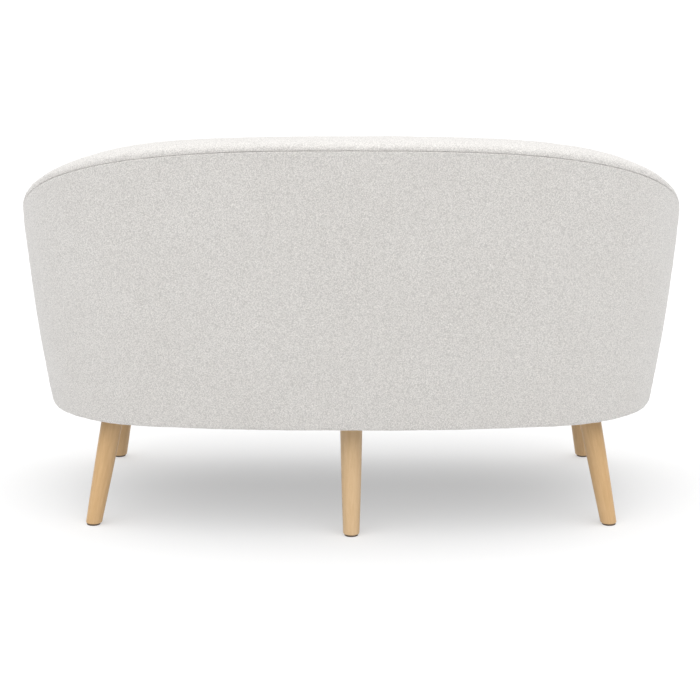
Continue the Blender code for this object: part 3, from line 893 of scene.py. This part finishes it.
def softened(points, rounds):
    """A closed loop with its corners rounded."""
    for _ in range(rounds):
        points = (np.roll(points, 1, 0) + 2 * points + np.roll(points, -1, 0)) / 4
    return points


def seat_loop(z, shrink):
    """A loop round the cushion at height z, shrink inside its CAD outline."""
    u = np.linspace(-2, 2, 900)
    back = wall_point(u, z, pad_inset(u, z) + CUSHION_CLEARANCE + shrink)
    half = back[-1, 0]
    x = np.linspace(half, -half, 300)
    y = CUSHION_FRONT + shrink - FRONT_BOW * (1 - (x / half) ** 2)
    across = np.stack([x, y, np.full(x.shape, float(z))], -1)
    return softened(even_loop(np.concatenate([back, across]), 0.005), 30)


def evaluated_copy(obj):
    """The object's mesh with its modifiers applied."""
    graph = bpy.context.evaluated_depsgraph_get()
    return bpy.data.meshes.new_from_object(obj.evaluated_get(graph))


def apply_modifiers(obj):
    made = evaluated_copy(obj)
    obj.modifiers.clear()
    old = obj.data
    obj.data = made
    bpy.data.meshes.remove(old)


def vertex_points(mesh):
    points = np.empty(len(mesh.vertices) * 3)
    mesh.vertices.foreach_get("co", points)
    return points.reshape(-1, 3)


def set_points(mesh, points):
    mesh.vertices.foreach_set("co", np.ascontiguousarray(points, float).ravel())
    mesh.update()


def inflate(obj, pinned, limits):
    """Swells a closed mesh with cloth under pressure, its seams held. limits gives the
    farthest that each vertex may go."""
    rest = vertex_points(obj.data)
    group = obj.vertex_groups.new(name="seams")
    group.add(np.flatnonzero(pinned).tolist(), 1.0, "REPLACE")
    cloth = obj.modifiers.new("Cloth", "CLOTH")
    cloth.settings.quality = 5
    cloth.settings.mass = 0.4
    cloth.settings.tension_stiffness = 12
    cloth.settings.compression_stiffness = 12
    cloth.settings.bending_stiffness = 0.8
    cloth.settings.use_pressure = True
    cloth.settings.uniform_pressure_force = PRESSURE
    cloth.settings.vertex_group_mass = "seams"
    cloth.settings.effector_weights.gravity = 0.0
    cloth.collision_settings.use_collision = False
    cloth.point_cache.frame_start = 1
    cloth.point_cache.frame_end = LAST_FRAME
    for number in range(1, LAST_FRAME + 1):
        bpy.context.scene.frame_set(number)
    swollen = vertex_points(evaluated_copy(obj))
    obj.modifiers.remove(cloth)
    obj.vertex_groups.clear()
    bpy.context.scene.frame_set(1)
    moved = swollen - rest
    far = np.linalg.norm(moved, axis=1)
    share = np.minimum(1.0, limits / np.maximum(far, 1e-9))
    set_points(obj.data, rest + moved * share[:, None])


def make_cushion():
    """The loose bench cushion: crowned top, borders that swell between two seams. It starts
    smaller than its place, and the pressure swells it."""
    low, high = CUSHION[0] + 0.0015, CUSHION[1] - 0.008
    levels = np.linspace(low, high, 12)
    rings = np.array([seat_loop((low + high) / 2, shrink=0.004)] * len(levels))
    rings[:, :, 2] = levels[:, None]
    cushion = sweep("seat_cushion_cloth", rings, BOUCLE, body=None)
    remesh = cushion.modifiers.new("Remesh", "REMESH")
    remesh.mode = "VOXEL"
    remesh.voxel_size = VOXEL
    apply_modifiers(cushion)
    lower_seam = even_loop(rings[0], SEAM_SAMPLE)
    upper_seam = even_loop(rings[-1], SEAM_SAMPLE)
    points = vertex_points(cushion.data)
    near = np.minimum(distance_to(points, lower_seam), distance_to(points, upper_seam))
    at_front = points[:, 1] < CUSHION_FRONT + 0.02
    limits = np.where(at_front, SWELLING["front"], SWELLING["border"])
    limits = np.where(points[:, 2] > high - 0.004, SWELLING["top"], limits)
    limits = np.where(points[:, 2] < low + 0.004, SWELLING["base"], limits)
    inflate(cushion, near < PINNED, limits)
    smooth = cushion.modifiers.new("Smooth", "SMOOTH")
    smooth.iterations = 4
    smooth.factor = 0.5
    finer = cushion.modifiers.new("Finer", "SUBSURF")
    finer.levels = 1
    finer.render_levels = 1
    apply_modifiers(cushion)
    stitch_cushion(cushion, lower_seam, upper_seam)
    cushion.data.materials.clear()
    cushion.data.materials.append(BOUCLE)
    cushion.data.shade_smooth()
    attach(cushion, CUSHION_BODY)
    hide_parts("cushion_cover", "cushion_foam")


def laid_on(obj, line):
    """A line moved onto the nearest places of the object's mesh."""
    found = [obj.closest_point_on_mesh(place)[1] for place in line]
    return softened(np.array(found), 12)


def refine_near(mesh, line, reach):
    """Splits the faces near a line, so that a narrow seam can be pressed in there."""
    build = bmesh.new()
    build.from_mesh(mesh)
    build.verts.ensure_lookup_table()
    near = distance_to(vertex_points(mesh), line) < reach
    edges = [edge for edge in build.edges if all(near[vertex.index] for vertex in edge.verts)]
    bmesh.ops.subdivide_edges(build, edges=edges, cuts=1, use_grid_fill=True)
    build.to_mesh(mesh)
    build.free()


def stitch_cushion(cushion, lower_seam, upper_seam):
    """Pulls the cloth in along the two seams and the zip's, and gives it its nubs."""
    zip_line = upper_seam[upper_seam[:, 1] > 0.0].copy()
    zip_line[:, 2] = (CUSHION[0] + CUSHION[1]) / 2
    zip_line = zip_line[np.abs(zip_line[:, 0]) < ZIP_LENGTH / 2]
    seams = np.concatenate([laid_on(cushion, lower_seam), laid_on(cushion, upper_seam)])
    refine_near(cushion.data, seams, 0.007)
    points = vertex_points(cushion.data)
    normals = np.empty(len(points) * 3)
    cushion.data.vertices.foreach_get("normal", normals)
    normals = normals.reshape(-1, 3)
    from_seam = distance_to(points, seams)
    depth = groove(from_seam, *GROOVE) + groove(from_seam, *HOLLOW)
    pucker = PUCKER * plateau(from_seam, (0.003, 0.008), (0.012, 0.035))
    depth -= pucker * lumps(points, 0.024, 54)
    depth += groove(distance_to(points, zip_line), *ZIP_GROOVE)
    off_deck = smooth_step(points[:, 2], CUSHION[0] + 0.02, CUSHION[0] + 0.05)
    swell = 0.0016 * lumps(points, 0.19, 51) + 0.0006 * lumps(points, 0.06, 52)
    rough = NUB_RELIEF * lumps(points, NUB_SIZE, 53)
    moved = points + normals * (off_deck * swell + rough - depth)[:, None]
    moved[:, 2] = np.maximum(moved[:, 2], CUSHION[0] + 0.0002)
    set_points(cushion.data, moved)


def fan_grid(inset, reach, front_y, z, rows, columns):
    """A grid that fills the space between the wall, at an inset and as far as the stations
    -reach and reach, and a straight front edge."""
    u = np.linspace(-reach, reach, columns)
    rear = wall_point(u, z, inset + np.zeros_like(u))
    half = rear[-1, 0]
    near = np.stack([np.linspace(-half, half, columns), np.full(columns, front_y), rear[:, 2]], -1)
    share = np.linspace(0, 1, rows)[:, None, None]
    return near + (rear - near) * share


def sheet_between(name, upper, thickness, material, **facts):
    """A level sheet of cloth, given its upper face."""
    lower = upper - np.array([0.0, 0.0, thickness])
    cloth = slab(name, upper, lower, material)
    return cloth


def make_deck():
    """The cloth deck over the springs, which show through it as faint ridges."""
    rows = 70
    grid = fan_grid(FOAM_START, 1.85, FRONT_RAIL_Y[1] - 0.016, DECK[1] - 0.0003, rows, 160)
    across = np.linspace(0, 1, rows)[:, None] * np.pi
    ridges = sum(groove(grid[..., 0] - x, 1.0, 0.022) for x in SPRING_X)
    grid[..., 2] -= DECK_DIP * np.sin(across) * (1 - 0.6 * np.clip(ridges, 0, 1))
    deck = sheet_between(
        "seat_deck_cloth", grid, DECK_SHEET, DECK_CLOTH,
        flat=(1.20, 0.56), held="stretched", rests_on=["seat_spring_1", "front_rail"], area=0.60,
    )
    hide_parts("seat_deck")


def make_dust_cover():
    """Black cloth under the frame, stapled at its hem and a little slack between the legs."""
    grid = fan_grid(0.012, 1.95, FRONT_RAIL_Y[0] + 0.002, DUST_TOP, 80, 170)
    plates = np.array([top for _, top in LEGS.values()])
    gap = np.min(np.abs(grid[:, :, None, :2] - plates).max(-1), axis=-1)
    border = np.concatenate([grid[0], grid[-1], grid[:, 0], grid[:, -1]])
    hem = distance_to(grid, border)
    slack = smooth_step(gap, 0.038, 0.16) * smooth_step(hem, 0.014, 0.13)
    grid[..., 2] -= DUST_SLACK * slack + 0.0007 * slack * lumps(grid, 0.05, 61)
    cover = sheet_between(
        "dust_cover_cloth", grid, DUST_SHEET, DUST_CLOTH,
        flat=(1.22, 0.62), held="stretched", rests_on=["front_rail", "rear_rail"], area=0.65,
    )
    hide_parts("dust_cover")


# ---------------------------------------------------------------- the legs


def turned(centres, radii, heights, around):
    """Level rings of points round the centres."""
    x = centres[:, 0, None] + radii[:, None] * np.cos(around)
    y = centres[:, 1, None] + radii[:, None] * np.sin(around)
    return np.stack([x, y, heights[:, None] + np.zeros_like(x)], -1)


def make_leg(number, name):
    """A turned, tapered leg, cut level at both ends, and its felt glide. number sets each
    leg's own stretch of grain."""
    foot, top = (np.array(place) for place in LEGS[name])
    low, high = LEG_HEIGHTS
    around = np.linspace(0, math.tau, 64, endpoint=False)
    turn = np.radians(np.linspace(0, 90, 6))
    heights = np.concatenate([
        low + LEG_ROUNDING * (1 - np.cos(turn)),
        np.linspace(low + LEG_ROUNDING, high, 24)[1:],
    ])
    rounding = np.zeros(len(heights))
    rounding[: len(turn)] = LEG_ROUNDING * (1 - np.sin(turn))
    share = (heights / high)[:, None]
    centres = foot + (top - foot) * share
    taper = LEG_FOOT_RADIUS + (LEG_TOP_RADIUS - LEG_FOOT_RADIUS) * share[:, 0]
    swell = LEG_SWELL * np.sin(math.pi * share[:, 0])
    rings = turned(centres, taper + swell - rounding, heights, around)
    # The middle leg takes the paler copy of the beech: painted light.
    wood = PAINTED_LIGHT_LEG_WOOD if name == "rear_centre" else LEG_WOOD
    leg = sweep(f"leg_{name}_turned", rings, wood, sharp=40)
    own = rings - np.concatenate([centres, np.zeros_like(share)], axis=1)[:, None]
    own[..., 0] += 0.13 * number
    grain = leg.data.attributes.new(GRAIN, "FLOAT_VECTOR", "POINT")
    grain.data.foreach_set("vector", own.ravel())
    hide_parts(f"leg_{name}")
    radii = GLIDE_RADIUS - np.array([GLIDE_BEVEL, 0.0, 0.0])
    heights = np.array([0.0, GLIDE_BEVEL, GLIDE_HEIGHT])
    rings = turned(np.tile(foot, (3, 1)), radii, heights, around)
    glide = sweep(f"glide_{name}_pad", rings, FELT, sharp=40)
    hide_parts(f"glide_{name}")


# ---------------------------------------------------------------- the studio


def make_floor():
    """A wide pale floor. Part of its light is its own, which keeps the shadow soft."""
    material, _, shader = nodes_of("studio_floor")
    shader.inputs["Base Color"].default_value = (FLOOR_TONE, FLOOR_TONE, FLOOR_TONE, 1.0)
    shader.inputs["Roughness"].default_value = 0.9
    shader.inputs["Specular IOR Level"].default_value = 0.0
    shader.inputs["Emission Color"].default_value = (1.0, 1.0, 1.0, 1.0)
    shader.inputs["Emission Strength"].default_value = FLOOR_GLOW
    far = 30.0
    corners = [(-far, -far, 0.0), (far, -far, 0.0), (far, far, 0.0), (-far, far, 0.0)]
    data = bpy.data.meshes.new("studio_floor")
    data.from_pydata(corners, [], [(0, 1, 2, 3)])
    data.materials.append(material)
    floor = bpy.data.objects.new("studio_floor", data)
    floor.location.z = -0.0002
    bpy.context.scene.collection.objects.link(floor)


def make_surround():
    """A white surround, which the camera sees at full strength and which lights only a little."""
    world = bpy.data.worlds.new("studio")
    world.use_nodes = True
    bpy.context.scene.world = world
    tree = world.node_tree
    fill = tree.nodes["Background"]
    fill.inputs["Color"].default_value = (1.0, 1.0, 1.0, 1.0)
    fill.inputs["Strength"].default_value = SKY_FILL
    seen = node(tree, "ShaderNodeBackground", Strength=1.0)
    seen.inputs["Color"].default_value = (1.0, 1.0, 1.0, 1.0)
    path = node(tree, "ShaderNodeLightPath")
    mix = node(tree, "ShaderNodeMixShader")
    tree.links.new(path.outputs["Is Camera Ray"], mix.inputs[0])
    tree.links.new(fill.outputs[0], mix.inputs[1])
    tree.links.new(seen.outputs[0], mix.inputs[2])
    tree.links.new(mix.outputs[0], tree.nodes["World Output"].inputs["Surface"])


def make_light():
    """One very broad light overhead, leaning a little towards the back of the sofa."""
    data = bpy.data.lights.new("overhead", "SUN")
    data.energy = SUN_ENERGY
    data.angle = SUN_SPREAD
    light = bpy.data.objects.new("overhead", data)
    light.rotation_euler.x = SUN_TILT
    bpy.context.scene.collection.objects.link(light)


def make_camera():
    """A long lens that looks at the back of the sofa, slightly from above."""
    data = bpy.data.cameras.new("camera")
    data.lens = FOCAL_LENGTH
    data.sensor_width = 36.0
    data.clip_end = 200.0
    camera = bpy.data.objects.new("camera", data)
    camera.location = CAMERA_PLACE
    camera.rotation_euler = (math.pi / 2 - CAMERA_DIP, 0.0, math.pi)
    bpy.context.scene.collection.objects.link(camera)
    bpy.context.scene.camera = camera
    bpy.context.scene.view_settings.view_transform = "Standard"


make_camera()
make_floor()
make_surround()
make_light()
finish_cad_nodes()
make_outer_cover()
make_rim_band()
make_back_pad()
make_front_apron()
make_deck()
make_dust_cover()
for leg_number, leg_name in enumerate(LEGS):
    make_leg(leg_number, leg_name)
make_cushion()
